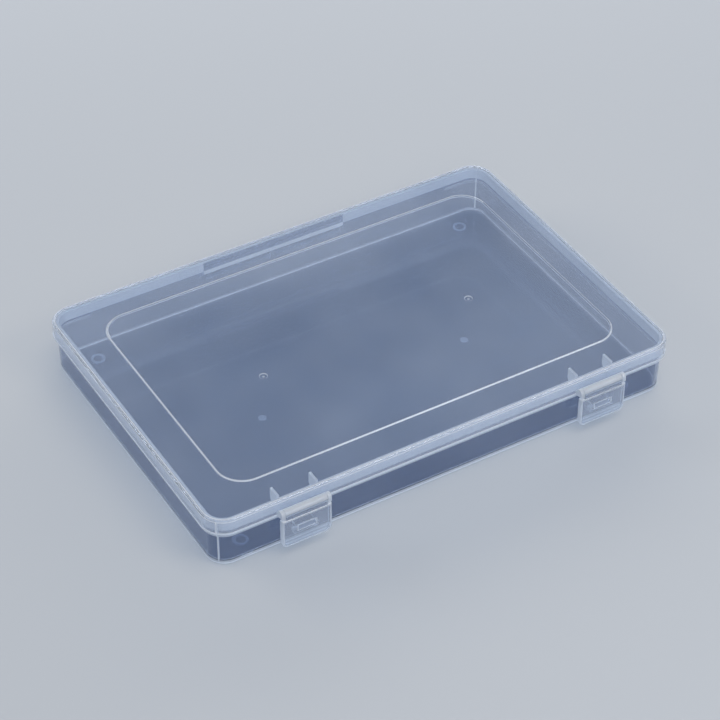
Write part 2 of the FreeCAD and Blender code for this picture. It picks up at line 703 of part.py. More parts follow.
# Nothing is written unless every feature is sound and each piece is one valid solid.
for item in doc.Objects:
    if "Invalid" in item.State or "Error" in item.State:
        raise RuntimeError(f"{item.Label}: {item.State}")
for body in bodies:
    shape = body.Shape
    if shape.isNull() or not shape.isValid() or len(shape.Solids) != 1:
        raise RuntimeError(f"{body.Label} is not one valid solid")

os.makedirs("parts", exist_ok=True)
for body in bodies:
    box = body.Shape.optimalBoundingBox()
    print(f"{body.Label}: {body.Shape.Volume:.1f} mm3, x {box.XMin:.2f} to {box.XMax:.2f}, "
          f"y {box.YMin:.2f} to {box.YMax:.2f}, z {box.ZMin:.2f} to {box.ZMax:.2f}")
    body.Shape.exportStep(f"parts/{body.Label}.step")
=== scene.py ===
# %% [markdown]
# # A translucent storage case
# The object is a flat case of natural polypropylene: a tray, a lid that turns on a rod at the back,
# and two snap latches on the front. The construction comes from a fixed frame with four nodes.
# This lesson dresses that frame: it rounds the edges of each moulding, gives the plastic its milky
# look, and sets the case on a pale floor under soft light.

# %% Load the frame
import math

import bmesh
import bpy
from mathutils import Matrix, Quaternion, Vector
from mathutils.bvhtree import BVHTree


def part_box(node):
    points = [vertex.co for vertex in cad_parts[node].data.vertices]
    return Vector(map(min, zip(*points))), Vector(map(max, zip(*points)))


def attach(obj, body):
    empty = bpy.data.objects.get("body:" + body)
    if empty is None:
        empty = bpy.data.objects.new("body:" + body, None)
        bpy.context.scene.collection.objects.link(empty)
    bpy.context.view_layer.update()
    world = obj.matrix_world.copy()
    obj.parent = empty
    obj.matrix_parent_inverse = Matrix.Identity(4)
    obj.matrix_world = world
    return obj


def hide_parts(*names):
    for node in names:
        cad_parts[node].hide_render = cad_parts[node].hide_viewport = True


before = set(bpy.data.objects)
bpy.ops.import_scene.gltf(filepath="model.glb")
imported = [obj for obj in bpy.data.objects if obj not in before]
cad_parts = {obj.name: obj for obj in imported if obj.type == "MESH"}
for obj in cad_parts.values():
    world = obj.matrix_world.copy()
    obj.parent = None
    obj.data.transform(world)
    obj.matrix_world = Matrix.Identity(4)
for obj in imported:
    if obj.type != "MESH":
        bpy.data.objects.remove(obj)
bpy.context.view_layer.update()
MM = 0.001
print("frame nodes:", sorted(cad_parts))

# %% [markdown]
# ## Camera
# The case is seen from the front left and above, from about a metre away, through a long lens.
# A camera could be dragged into place by eye, but a view is easier to repeat when it is written as
# an azimuth, an elevation, a distance from a point near the middle of the case, and a slight roll.

# %% Viewpoint
VIEW_AZIMUTH = math.radians(-31.191)
VIEW_ELEVATION = math.radians(40.391)
VIEW_ROLL = math.radians(0.472)
VIEW_DISTANCE = 1.1
VIEW_AIM = Vector((-4.1, -7.3, 16.4)) * MM
LENS_MM = 119.75
SENSOR_MM = 36.0


def direction(azimuth, elevation):
    """Unit vector from the case towards a place round it; azimuth 0 is the front."""
    level = math.cos(elevation)
    return Vector((math.sin(azimuth) * level, -math.cos(azimuth) * level, math.sin(elevation)))


towards_camera = direction(VIEW_AZIMUTH, VIEW_ELEVATION)
print("the camera looks from", [round(c, 3) for c in towards_camera])

# %% Camera object
camera_data = bpy.data.cameras.new("camera")
camera_data.lens = LENS_MM
camera_data.sensor_width = SENSOR_MM
camera = bpy.data.objects.new("camera", camera_data)
camera.location = VIEW_AIM + towards_camera * VIEW_DISTANCE
facing = (-towards_camera).to_track_quat("-Z", "Y")
camera.rotation_euler = (facing @ Quaternion((0, 0, 1), VIEW_ROLL)).to_euler()
bpy.context.scene.collection.objects.link(camera)
bpy.context.scene.camera = camera
print("camera at", [round(c, 4) for c in camera.location])

# %% [markdown]
# ## Colours and nodes
# Colours are written as the hex values that a paint program shows. Shaders work in linear light,
# so one function converts them. Another adds a shader node with its settings and links, which keeps
# each material short enough to read from top to bottom.

# %% Colours and nodes
SRGB_KNEE = 0.04045
SRGB_SLOPE = 12.92
SRGB_OFFSET = 0.055
SRGB_POWER = 2.4


def linear(hex_colour):
    """Linear RGBA of an sRGB hex colour."""
    light = []
    for start in (1, 3, 5):
        channel = int(hex_colour[start:start + 2], 16) / 255
        if channel <= SRGB_KNEE:
            light.append(channel / SRGB_SLOPE)
        else:
            light.append(((channel + SRGB_OFFSET) / (1 + SRGB_OFFSET)) ** SRGB_POWER)
    return light + [1.0]


def add_node(tree, kind, settings=None, inputs=None):
    """Shader node with its own settings, and each input set to a value or linked from an output."""
    node = tree.nodes.new(kind)
    for name, value in (settings or {}).items():
        setattr(node, name, value)
    for name, value in (inputs or {}).items():
        if isinstance(value, bpy.types.NodeSocket):
            tree.links.new(value, node.inputs[name])
        else:
            node.inputs[name].default_value = value
    return node


print("middle grey #808080 is", round(linear("#808080")[0], 3), "in linear light")

# %% [markdown]
# ## Places on the case
# Edges and finishes are chosen by where they are, so the lesson needs a few heights and zones, all
# in millimetres. Every place could be typed in as a number, but then it would be wrong as soon as
# the case moved. They are worked out from the boxes of the nodes and the sizes of the mould's steps.

# %% Boxes of the nodes
lid_high = Vector(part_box("lid")[1]) / MM
tray_low, tray_high = [Vector(corner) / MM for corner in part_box("base_tray")]
latch_low, latch_high = [Vector(corner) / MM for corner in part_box("latch_right")]
print("tray from", tray_low[:], "to", tray_high[:])

# %% Heights
LID_HEIGHT = 8.2
LID_WALL = 1.4
PANEL_STEP = 0.5
FOOT_HEIGHT = 0.8
FLOOR_WALL = 1.4
lid_top = lid_high.z - PANEL_STEP
lid_underside = lid_top - LID_WALL
skirt_edge = lid_top - LID_HEIGHT
tray_bottom = tray_low.z + FOOT_HEIGHT
tray_floor = tray_bottom + FLOOR_WALL
print("lid top, underside and skirt edge:", [round(z, 2) for z in (lid_top, lid_underside, skirt_edge)])
print("tray bottom and floor:", [round(z, 2) for z in (tray_bottom, tray_floor)])

# %% Zones of the latches and the hinge
LID_MIDDLE_Y = 1.25
LID_LENGTH = 240.0
LID_WIDTH = 164.2
HINGE_REACH = 4.6
HINGE_HALF = 42
LATCH_MARGIN = 2.8
LATCH_REACH = 0.65
lid_front = LID_MIDDLE_Y - LID_WIDTH / 2
lid_back = LID_MIDDLE_Y + LID_WIDTH / 2


def near_hinge(point, normal=None):
    """True for the hinge at the middle of the back."""
    return point.y > tray_high.y - HINGE_REACH and abs(point.x) < HINGE_HALF


def near_latch(point, normal=None):
    """True for the latch and its seat at either side of the front."""
    beside = latch_low.x - LATCH_MARGIN < abs(point.x) < latch_high.x + LATCH_MARGIN
    return beside and point.y < lid_front + LATCH_REACH


def on_plain_wall(point):
    """True away from the hinge and the latches, where there is room for a wider round."""
    return not near_hinge(point) and not near_latch(point)


print("lid front at y", round(lid_front, 2), "and hinge within", HINGE_HALF, "of the middle")

# %% [markdown]
# ## From a solid to a moulding
# The frame gives each piece as loose triangles with knife-sharp edges. A steel mould never leaves
# such edges: each has a radius of a few tenths of a millimetre, and that thin radius is what catches
# the light. The pieces could be modelled again from nothing, but their shapes are already right, so
# a copy of each is merged, its flat areas are joined into whole faces, and its sharp outer edges are
# bevelled.

# %% A merged copy of a node
MERGE_DISTANCE = 0.002 * MM
FLAT_ANGLE = math.radians(0.1)


def moulding_from(node):
    """Merged copy of a node's mesh, with flat areas joined into whole faces."""
    mesh = bmesh.new()
    mesh.from_mesh(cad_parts[node].data)
    loose = len(mesh.faces)
    bmesh.ops.remove_doubles(mesh, verts=mesh.verts, dist=MERGE_DISTANCE)
    bmesh.ops.dissolve_limit(
        mesh, angle_limit=FLAT_ANGLE, use_dissolve_boundaries=False, verts=mesh.verts, edges=mesh.edges)
    print(node, "goes from", loose, "loose triangles to", len(mesh.faces), "whole faces")
    return mesh


# %% Rounded edges
SHARP_ANGLE = math.radians(35)
BEVEL_SEGMENTS = 3


def round_edges(mesh, width, wanted):
    """Bevels the sharp outer edges whose middle, in millimetres, passes the test."""
    picked = []
    for edge in mesh.edges:
        if edge.is_convex and edge.calc_face_angle() > SHARP_ANGLE:
            middle = (edge.verts[0].co + edge.verts[1].co) / (2 * MM)
            if wanted(middle):
                picked.append(edge)
    bmesh.ops.bevel(
        mesh, geom=picked, offset=width * MM, offset_type="OFFSET", affect="EDGES",
        segments=BEVEL_SEGMENTS, profile=0.5, material=-1, clamp_overlap=False)
    print("rounded", len(picked), "edges by", width, "mm")


# %% [markdown]
# ## How far light travels in the plastic
# Natural polypropylene looks clear through a thin wall and white along an edge, because there the
# light has a long way to go inside it. Real volume scattering would show this, but it needs very
# many samples. Instead each face stores how milky it is. A ray that is shot into the piece measures
# the wall behind the face, and the folds and rims where light is caught get a share by their place:
# where that share stands for light gathering along a line, it is a painted highlight.

# %% The wall behind a face
JUST_INSIDE = 0.01 * MM
CLEAR_WALL_MM = 2.2
WHITE_WALL_MM = 9.0


def wall_behind(tree, face):
    """Length of plastic behind the middle of a face, in millimetres."""
    inwards = -face.normal
    start = face.calc_center_median() + inwards * JUST_INSIDE
    place, normal, index, distance = tree.ray_cast(start, inwards)
    return distance / MM if place else 0.0


def thinnest_walls(mesh):
    """Least wall behind each whole face, measured from the triangles of a copy."""
    pieces = mesh.copy()
    whole = pieces.faces.layers.int.new("whole_face")
    for face in pieces.faces:
        face[whole] = face.index
    bmesh.ops.triangulate(pieces, faces=pieces.faces)
    tree = BVHTree.FromBMesh(pieces)
    walls = [WHITE_WALL_MM] * len(mesh.faces)
    for face in pieces.faces:
        walls[face[whole]] = min(walls[face[whole]], wall_behind(tree, face))
    pieces.free()
    return walls


print("walls turn from clear at", CLEAR_WALL_MM, "mm to white at", WHITE_WALL_MM, "mm")

# %% Milk by place
WHITE = (1, 1)
CLEAR = (0, 0.1)


def at_least(share):
    """Limits for a place with this share of milk or more."""
    return share, 1


def milk_limits(face, milky_and_highlight_places):
    """Least and greatest share of milk that the places of a whole face allow."""
    corners = [vert.co / MM for vert in face.verts]
    found = [limit for place, limit in milky_and_highlight_places if all(place(c, face.normal) for c in corners)]
    return max([low for low, high in found] + [0.0]), min([high for low, high in found] + [1.0])


print("a white place has milk within", WHITE, "and a clear one within", CLEAR)

# %% Milk and shade as attributes
# The milk attribute holds milkiness and also painted highlights: white set on lines where light gathers.
MILK_AND_HIGHLIGHT_ATTRIBUTE = "milk"
PAINTED_SHADE_ATTRIBUTE = "shade"
# Outline strips get this milk as a painted highlight line.
PAINTED_LINE_MILK = 0.9


def store_finish(mesh, milky_and_highlight_places, painted_shade_place, outline=()):
    """Gives each face its milk, from 0, clear, to 1, white, and its painted shade, 0 or 1."""
    milk = mesh.faces.layers.float.new(MILK_AND_HIGHLIGHT_ATTRIBUTE)
    shade = mesh.faces.layers.float.new(PAINTED_SHADE_ATTRIBUTE)
    mesh.faces.index_update()
    mesh.normal_update()
    limits = []
    for face in mesh.faces:
        face[shade] = float(all(painted_shade_place(vert.co / MM, face.normal) for vert in face.verts))
        limits.append(milk_limits(face, milky_and_highlight_places))
    walls = thinnest_walls(mesh)
    for face in mesh.faces:
        low, high = limits[face.index]
        if face.index in outline:
            low = PAINTED_LINE_MILK
        share = (walls[face.index] - CLEAR_WALL_MM) / (WHITE_WALL_MM - CLEAR_WALL_MM)
        face[milk] = min(max(share, low), high)
    print("milk stored on", len(mesh.faces), "faces")


# %% [markdown]
# ## Natural polypropylene
# The plastic is uncoloured polypropylene, injection moulded against polished steel. Its crystals
# scatter a little of the light, which gives the milky, faintly blue haze, and the rest passes
# through. A glass shader alone would look like window glass, and a white one like a milk bottle, so
# a Principled shader bends and tints what passes, and shows a white body where the piece is milky.
# A Translucent shader adds the light that comes from behind. Lamps shine through the walls as
# through a window, so that the inside of the case and the floor under it are lit.

# %% Waves and clouds in the moulding
FLOW_MM = 25
FLOW_DETAIL = 1.0
FLOW_ROUGHNESS = 0.4
FLOW_STRENGTH = 0.1
FLOW_DEPTH_MM = 0.2
CLOUD_MM = 60
CLOUD_DETAIL = 2.0
CLOUD_LOW = 0.3
CLOUD_HIGH = 0.7
CLOUD_SHARE = 0.02


def flow_waves(tree, place):
    """Slight waviness that the plastic keeps from flowing into a large, thin mould."""
    wave = add_node(tree, "ShaderNodeTexNoise", {}, {
        "Vector": place.outputs["Object"], "Scale": 1 / (FLOW_MM * MM),
        "Detail": FLOW_DETAIL, "Roughness": FLOW_ROUGHNESS})
    return add_node(tree, "ShaderNodeBump", {}, {
        "Height": wave.outputs[0], "Strength": FLOW_STRENGTH, "Distance": FLOW_DEPTH_MM * MM})


def milkiness(tree, place, thin_milk, thick_milk):
    """Share of white at each point: the face's own milk and painted highlights, with faint clouds."""
    cloud = add_node(tree, "ShaderNodeTexNoise", {}, {
        "Vector": place.outputs["Object"], "Scale": 1 / (CLOUD_MM * MM), "Detail": CLOUD_DETAIL})
    haze = add_node(tree, "ShaderNodeMapRange", {}, {
        "Value": cloud.outputs[0], "From Min": CLOUD_LOW, "From Max": CLOUD_HIGH,
        "To Min": -CLOUD_SHARE, "To Max": CLOUD_SHARE})
    milk = add_node(tree, "ShaderNodeAttribute", {"attribute_name": MILK_AND_HIGHLIGHT_ATTRIBUTE})
    share = add_node(tree, "ShaderNodeMapRange", {"clamp": True}, {
        "Value": milk.outputs["Fac"], "To Min": thin_milk, "To Max": thick_milk})
    return add_node(tree, "ShaderNodeMath", {"operation": "ADD", "use_clamp": True}, {
        0: share.outputs["Result"], 1: haze.outputs["Result"]})


print("waves of", FLOW_MM, "mm and clouds of", CLOUD_MM, "mm")

# %% What passes and what stays
MILK_WHITE = "#EDF2FA"
GLOSS_ROUGHNESS = 0.04
POLYPROPYLENE_IOR = 1.49
GLOW_SHARE = 0.5
MIX_FIRST = 6
MIX_SECOND = 7
MIX_RESULT = 2


def mixed_colour(tree, factor, first, second):
    """Colour node between a first and a second colour, of which the first may be another node's."""
    mix = add_node(tree, "ShaderNodeMix", {"data_type": "RGBA"}, {0: factor, MIX_FIRST: first})
    mix.inputs[MIX_SECOND].default_value = second
    return mix.outputs[MIX_RESULT]


def plastic_body(tree, tint, milky, bump):
    """The wall itself: clear and tinted where it is thin, white and glowing where it is milky."""
    clear = add_node(tree, "ShaderNodeMath", {"operation": "SUBTRACT"}, {0: 1.0, 1: milky.outputs[0]})
    shader = add_node(tree, "ShaderNodeBsdfPrincipled", {}, {
        "Base Color": mixed_colour(tree, milky.outputs[0], tint, linear(MILK_WHITE)),
        "Roughness": GLOSS_ROUGHNESS, "IOR": POLYPROPYLENE_IOR,
        "Transmission Weight": clear.outputs[0], "Normal": bump.outputs["Normal"]})
    glow = add_node(tree, "ShaderNodeBsdfTranslucent", {}, {"Color": linear(MILK_WHITE)})
    through = add_node(tree, "ShaderNodeMath", {"operation": "MULTIPLY"}, {
        0: milky.outputs[0], 1: GLOW_SHARE})
    return add_node(tree, "ShaderNodeMixShader", {}, {
        0: through.outputs[0], 1: shader.outputs["BSDF"], 2: glow.outputs["BSDF"]})


print("milk white in linear light:", [round(c, 3) for c in linear(MILK_WHITE)[:3]])

# %% The plastic


def natural_polypropylene(name, wall_tint, window_tint, thin_milk, thick_milk, painted_shade_tint=None):
    """Milky, see-through plastic with the polished steel's gloss and the waves of a large moulding."""
    # To the eye: cool, glassy walls with a breath of white, and white lines along every fold and rim;
    # many of these lines are painted highlights.
    material = bpy.data.materials.new(name)
    material.use_nodes = True
    tree = material.node_tree
    tree.nodes.clear()
    place = add_node(tree, "ShaderNodeTexCoord")
    tint = linear(wall_tint)
    # The shade tint is painted shade: a deeper colour for the faces that lie in the case's shade.
    if painted_shade_tint:
        shade = add_node(tree, "ShaderNodeAttribute", {"attribute_name": PAINTED_SHADE_ATTRIBUTE})
        tint = mixed_colour(tree, shade.outputs["Fac"], tint, linear(painted_shade_tint))
    milky = milkiness(tree, place, thin_milk, thick_milk)
    body = plastic_body(tree, tint, milky, flow_waves(tree, place))
    window = add_node(tree, "ShaderNodeBsdfTransparent", {}, {"Color": linear(window_tint)})
    ray = add_node(tree, "ShaderNodeLightPath")
    lighting = add_node(tree, "ShaderNodeMath", {"operation": "MAXIMUM"}, {
        0: ray.outputs["Is Shadow Ray"], 1: ray.outputs["Is Diffuse Ray"]})
    surface = add_node(tree, "ShaderNodeMixShader", {}, {
        0: lighting.outputs[0], 1: body.outputs["Shader"], 2: window.outputs["BSDF"]})
    add_node(tree, "ShaderNodeOutputMaterial", {}, {"Surface": surface.outputs["Shader"]})
    print(name, "has", len(tree.nodes), "nodes")
    return material


# %% Three mouldings of one plastic, the tray's tinted deeper as painted shade
WALL_HAZE = 0.06
LATCH_HAZE = 0.12
FOLD_HAZE = 0.9
lid_plastic = natural_polypropylene(
    "natural_polypropylene_lid", "#E4EBF5", "#F4F7FB", WALL_HAZE, FOLD_HAZE)
# The tray's deeper wall tint and its floor's shade tint are painted shade on the same plastic as the lid.
tray_plastic_painted_shade = natural_polypropylene(
    "natural_polypropylene_tray_painted_shade", "#A8B4CB", "#E6EBF1", WALL_HAZE, FOLD_HAZE, painted_shade_tint="#98A8C3")
latch_plastic = natural_polypropylene(
    "natural_polypropylene_latch", "#E4EBF5", "#E6EBF1", LATCH_HAZE, FOLD_HAZE)

# %% [markdown]
# ## A moulding becomes a piece
# A finished mesh turns into an object that stands for its node, rides on the same body and takes the
# record's one material slot. Plain smooth shading would smear light from the small bevels over the
# flat walls, so each corner takes the direction of the faces round it that nearly agree with its own
# face, and a large face counts for more than a small one.

# %% Directions at the corners
AGREE = math.cos(SHARP_ANGLE)


def smooth_corners(data):
    """Shades a mesh smoothly over rounds and bevels, and leaves flat faces flat."""
    around = [[] for vertex in data.vertices]
    for face in data.polygons:
        for corner in face.vertices:
            around[corner].append(face)
    directions = []
    for face in data.polygons:
        for corner in face.vertices:
            total = Vector()
            for other in around[corner]:
                if face.normal.dot(other.normal) > AGREE:
                    total += other.normal * other.area
            directions.append(total.normalized())
    data.shade_smooth()
    data.normals_split_custom_set(directions)


print("faces within", round(math.degrees(SHARP_ANGLE)), "degrees of each other shade as one")

# %% A moulding becomes a piece


def finish_moulding(mesh, name, node, body, material):
    """Object made from a finished mesh, which stands for a node and rides on its body."""
    data = bpy.data.meshes.new(name)
    mesh.to_mesh(data)
    mesh.free()
    smooth_corners(data)
    data.materials.append(material)
    piece = bpy.data.objects.new(name, data)
    bpy.context.scene.collection.objects.link(piece)
    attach(piece, body)
    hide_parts(node)
    print(name, "has", len(data.polygons), "faces")


# %% [markdown]
# ## Tray
# The tray is a shallow box with a round along its bottom edge, ring feet, a ledge that the lid's
# skirt comes down to, and the gate marks where the plastic came in. On the real one the rim, the
# ledge, the bottom edge, the upright corners and the lines of the hinge are drawn in white, and the
# floor looks deeper than the walls. Here cuts divide the walls into strips, and the strips that
# guide the light get their milk. Along the rail lips, the upright corners and the hinge lines that
# white is a painted highlight, and along the bottom edge it is partly one. The tray is tinted
# deeper than the lid, and its floor deeper still, as painted shade.

# %% Tray, outside
SLACK = 0.05
LEVEL = 0.99
TRAY_ROUND = 0.5
EDGE_BANDS = (1.0, 2.1)
LEDGE_HEIGHT = 2.0


def on_feet(point, normal):
    """The ring feet under the floor."""
    return point.z < tray_bottom + SLACK and (abs(normal.z) < LEVEL or point.z < tray_low.z + SLACK)


def on_bottom_edge_milk_and_highlight(point, normal):
    """The round along the bottom edge, whiter for the floor behind it, partly a painted highlight."""
    return point.z < tray_bottom + TRAY_ROUND + SLACK and abs(normal.z) < LEVEL


def below_floor_milk_and_highlight(point, normal):
    """The walls' lowest outer band, with the floor's edge behind it, partly a painted highlight."""
    return point.z < tray_bottom + EDGE_BANDS[0] + SLACK and abs(normal.z) < LEVEL


def beside_floor_milk_and_highlight(point, normal):
    """The band above it, where the eye still looks into the floor's edge, partly a painted highlight."""
    return point.z < tray_bottom + EDGE_BANDS[1] + SLACK and abs(normal.z) < LEVEL


def on_ledge(point, normal):
    """The ledge that the lid's skirt comes down to."""
    return skirt_edge - LEDGE_HEIGHT - SLACK < point.z < skirt_edge


def below_latch(point, normal):
    """The wall behind a latch, which stays clear so that the latch stands out."""
    return near_latch(point) and point.z < skirt_edge


print("ledge from", round(skirt_edge - LEDGE_HEIGHT, 2), "to", round(skirt_edge, 2))

# %% Tray, inside
FLOOR_ROUND = 1.2
RIM_EDGE = 0.35
BEAD_HEIGHT = 1.0
BEAD_VIEW = 0.3
GATE_X = 54.6
GATE_REACH = 2.0
TRAY_GATE_Y = LID_MIDDLE_Y - 6.6
bead_top = skirt_edge + BEAD_HEIGHT + BEAD_VIEW


def on_floor(point, normal):
    """Both sides of the floor, which take the painted shade."""
    return point.z < tray_floor + SLACK and abs(normal.z) > LEVEL


def on_floor_round(point, normal):
    """The round between the floor and the walls."""
    return tray_floor - SLACK < point.z < tray_floor + FLOOR_ROUND + SLACK and abs(normal.z) < LEVEL


def on_gate(point, normal):
    """The two gate marks, where the plastic came into the mould."""
    return abs(abs(point.x) - GATE_X) < GATE_REACH and abs(point.y - TRAY_GATE_Y) < GATE_REACH


def on_rim(point, normal):
    """The rim at the top of the walls."""
    return point.z > tray_high.z - RIM_EDGE


print("the lid's bead hides the tray's wall up to", round(bead_top, 2))

# %% Tray, back
LUG_START = 37.75
BACK_REACH = 4.0
LIP_SLOPE = 0.75
UPRIGHT = 0.3


def behind_window(point):
    """The back wall between the lugs, where the skirt has a window for the hinge."""
    return abs(point.x) < LUG_START + SLACK and point.y > lid_back - BACK_REACH


def inside_skirt(point, normal):
    """The part of the walls that the lid's skirt covers, above the bead."""
    return point.z > bead_top - SLACK and not behind_window(point)


def on_rail_lip_painted_highlight(point, normal):
    """The lips of the hinge rails' open mouth, painted white as a highlight where light catches them."""
    return near_hinge(point) and normal.z > LIP_SLOPE and abs(normal.y) > UPRIGHT


print("window in the skirt:", 2 * LUG_START, "mm wide")

# %% Painted highlight lines of the hinge on the inner wall
INNER_BACK = 2.5
HINGE_LINES = (-0.2, 1.6)
HINGE_LINE_HALF = 0.17
END_MARK = 0.7
mark_end = LUG_START + END_MARK


def on_inner_back(point):
    """The inner side of the back wall."""
    return lid_back - BACK_REACH < point.y < lid_back - INNER_BACK


def along_painted_hinge_highlight(point, line):
    """One of two fine painted highlight lines, for the light that the hinge gathers behind the wall."""
    beside = on_inner_back(point) and abs(point.x) < mark_end + SLACK
    return beside and abs(point.z - skirt_edge - line) < HINGE_LINE_HALF + SLACK


def on_lower_painted_hinge_highlight(point, normal):
    """The lower painted highlight line."""
    return along_painted_hinge_highlight(point, HINGE_LINES[0])


def on_upper_painted_hinge_highlight(point, normal):
    """The upper painted highlight line."""
    return along_painted_hinge_highlight(point, HINGE_LINES[1])


def on_painted_hinge_end_highlight(point, normal):
    """The short upright painted highlights at both ends of the lines."""
    beside = on_inner_back(point) and LUG_START - SLACK < abs(point.x) < mark_end + SLACK
    rise = point.z - skirt_edge
    return beside and HINGE_LINES[0] - 2 * HINGE_LINE_HALF < rise < HINGE_LINES[1] + 2 * HINGE_LINE_HALF


print("hinge lines at", [round(skirt_edge + line, 2) for line in HINGE_LINES], "up to x", mark_end)

# %% Upright corners
CORNER_LINE = 0.35
CORNER_REACH = 2.5
CORNER_START = 95
corner_shift = (LID_LENGTH - LID_WIDTH) / 2


def off_corner(point):
    """Distance from the upright plane that halves a rounded corner."""
    return (abs(point.x) - abs(point.y - LID_MIDDLE_Y) - corner_shift) / math.sqrt(2)


def on_painted_corner_highlight(point, normal):
    """The middle of an upright rounded corner, painted white as a highlight, a bright line of light."""
    at_corner = abs(point.x) > CORNER_START and abs(normal.z) < UPRIGHT
    return at_corner and abs(off_corner(point)) < CORNER_LINE + SLACK


print("the planes that halve the corners meet at x", round(corner_shift, 2))

# %% Cuts
UPWARDS = (0, 0, 1)
ACROSS = (1, 0, 0)
LEFT_RIGHT_FRONT_BACK = [(-1, -1), (-1, 1), (1, -1), (1, 1)]


def cut(mesh, faces, point, normal):
    """Cuts faces along a plane through a point in millimetres, without taking anything away."""
    edges = {edge for face in faces for edge in face.edges}
    verts = {vert for face in faces for vert in face.verts}
    bmesh.ops.bisect_plane(
        mesh, geom=list(verts) + list(edges) + faces, dist=MERGE_DISTANCE,
        plane_co=Vector(point) * MM, plane_no=normal)


def split_corners(mesh):
    """Cuts a narrow strip out of the middle of each rounded corner, for the painted highlight."""
    for across, along in LEFT_RIGHT_FRONT_BACK:
        halving = Vector((across, -along, 0)).normalized()
        middle = Vector((across * corner_shift, LID_MIDDLE_Y, 0))
        for shift in (-CORNER_LINE, CORNER_LINE):
            faces = []
            for face in mesh.faces:
                spot = face.calc_center_median() / MM
                here = spot.x * across > CORNER_START and (spot.y - LID_MIDDLE_Y) * along > 0
                if here and abs(off_corner(spot)) < CORNER_REACH and abs(face.normal.z) < UPRIGHT:
                    faces.append(face)
            cut(mesh, faces, middle + halving * shift, halving)
    print("with its corners split, the moulding has", len(mesh.faces), "faces")


# %% Tray moulding
FINE_EDGE = 0.08
MOULD_EDGE = 0.16
tray = moulding_from("base_tray")
round_edges(tray, FINE_EDGE, near_hinge)
round_edges(tray, MOULD_EDGE, on_plain_wall)

# %% Tray, strips
for height in (tray_bottom + EDGE_BANDS[0], tray_bottom + EDGE_BANDS[1], bead_top):
    cut(tray, tray.faces[:], (0, 0, height), UPWARDS)
for end in (-mark_end, -LUG_START, LUG_START, mark_end):
    back = [face for face in tray.faces if face.calc_center_median().y / MM > lid_back - BACK_REACH]
    cut(tray, back, (end, 0, 0), ACROSS)
# Strips for the painted hinge highlight lines.
for line in HINGE_LINES:
    for height in (skirt_edge + line - HINGE_LINE_HALF, skirt_edge + line + HINGE_LINE_HALF):
        inner_back = [face for face in tray.faces if on_inner_back(face.calc_center_median() / MM)
                      and abs(face.calc_center_median().x / MM) < mark_end]
        cut(tray, inner_back, (0, 0, height), UPWARDS)
split_corners(tray)

# %% Tray, finish
# Milk by place; the bottom edge, rail lips, upright corners and hinge lines are painted highlights.
TRAY_MILK_AND_PAINTED_HIGHLIGHTS = [
    (on_feet, WHITE), (on_bottom_edge_milk_and_highlight, WHITE), (below_floor_milk_and_highlight, at_least(0.9)), (beside_floor_milk_and_highlight, at_least(0.55)),
    (on_ledge, at_least(0.5)), (on_floor_round, CLEAR), (on_gate, at_least(0.8)),
    (inside_skirt, at_least(0.6)), (on_rim, WHITE), (on_painted_corner_highlight, at_least(0.7)),
    (below_latch, CLEAR), (near_hinge, at_least(0.05)), (on_rail_lip_painted_highlight, WHITE),
    (on_lower_painted_hinge_highlight, at_least(0.8)), (on_upper_painted_hinge_highlight, at_least(0.8)), (on_painted_hinge_end_highlight, at_least(0.8))]
store_finish(tray, TRAY_MILK_AND_PAINTED_HIGHLIGHTS, on_floor)
finish_moulding(tray, "tray_moulding", "base_tray", "base", tray_plastic_painted_shade)

# %% [markdown]
# ## Lid
# The lid is a flat cover with a raised panel, a rounded top edge, a skirt with a bead, stop fins
# behind the latches, a hinge rod between lugs, and gate marks of its own. Its top is the clearest
# wall of the case. The round along the edge shows as two fine lines with a paler band between them,
# so its strips don't all get the same milk: the first and the last have the most, painted white as
# highlight lines. The slope round the panel is painted white as a highlight too, and its back edge
# shows as a line as well. A bevel there is too narrow to see, so the panel is inset, and the strip
# along its back gets the milk as a painted highlight. The lines along the rod and the upright corners
# are painted highlights as well.

# %% Lid, edges
LID_ROUND = 1.3
NEARLY_LEVEL = 0.9
NEARLY_UPRIGHT = 0.25


def on_painted_panel_slope_highlight(point, normal):
    """The slope round the raised panel, painted white all round as a highlight."""
    return lid_top - SLACK < point.z and abs(normal.z) < LEVEL


def on_top_round(point, normal):
    """The round along the lid's top edge."""
    return lid_top - LID_ROUND - SLACK < point.z < lid_top + SLACK and 0 < normal.z < 1 - SLACK ** 2


def on_upper_painted_round_highlight(point, normal):
    """The first strips of the round, next to the flat top, painted white as a highlight line."""
    return on_top_round(point, normal) and normal.z > NEARLY_LEVEL


def on_lower_painted_round_highlight(point, normal):
    """The last strips of the round, next to the skirt, painted almost white as a highlight line."""
    return on_top_round(point, normal) and normal.z < NEARLY_UPRIGHT


def on_skirt(point, normal):
    """The skirt below the lid's top wall."""
    return point.z < lid_top - LID_ROUND + SLACK and abs(normal.z) < LEVEL


def on_bead(point, normal):
    """The bead along the skirt's edge."""
    return point.z < skirt_edge + BEAD_HEIGHT + SLACK


print("round from", round(lid_top - LID_ROUND, 2), "to", round(lid_top, 2))

# %% Lid, fins
FIN_START = 2.5
FIN_END = 11


def on_fin(point, normal):
    """The stop fins under the lid."""
    behind_front = lid_front + FIN_START < point.y < lid_front + FIN_END
    beside = abs(point.x) < latch_high.x + LATCH_MARGIN
    hangs = point.z < lid_underside + SLACK and (abs(normal.z) < LEVEL or point.z < lid_underside - SLACK)
    return hangs and behind_front and beside


def nowhere(point, normal):
    """No part of the lid or the latches takes the painted shade."""
    return False


print("fins from y", round(lid_front + FIN_START, 2), "to", round(lid_front + FIN_END, 2))

# %% Lid, hinge
HINGE_STANDOFF = 0.2
HINGE_DROP = 1.2
ROD_RADIUS = 1.0
ROD_LINE = 0.35
hinge_y = lid_back + HINGE_STANDOFF
hinge_z = skirt_edge - HINGE_DROP


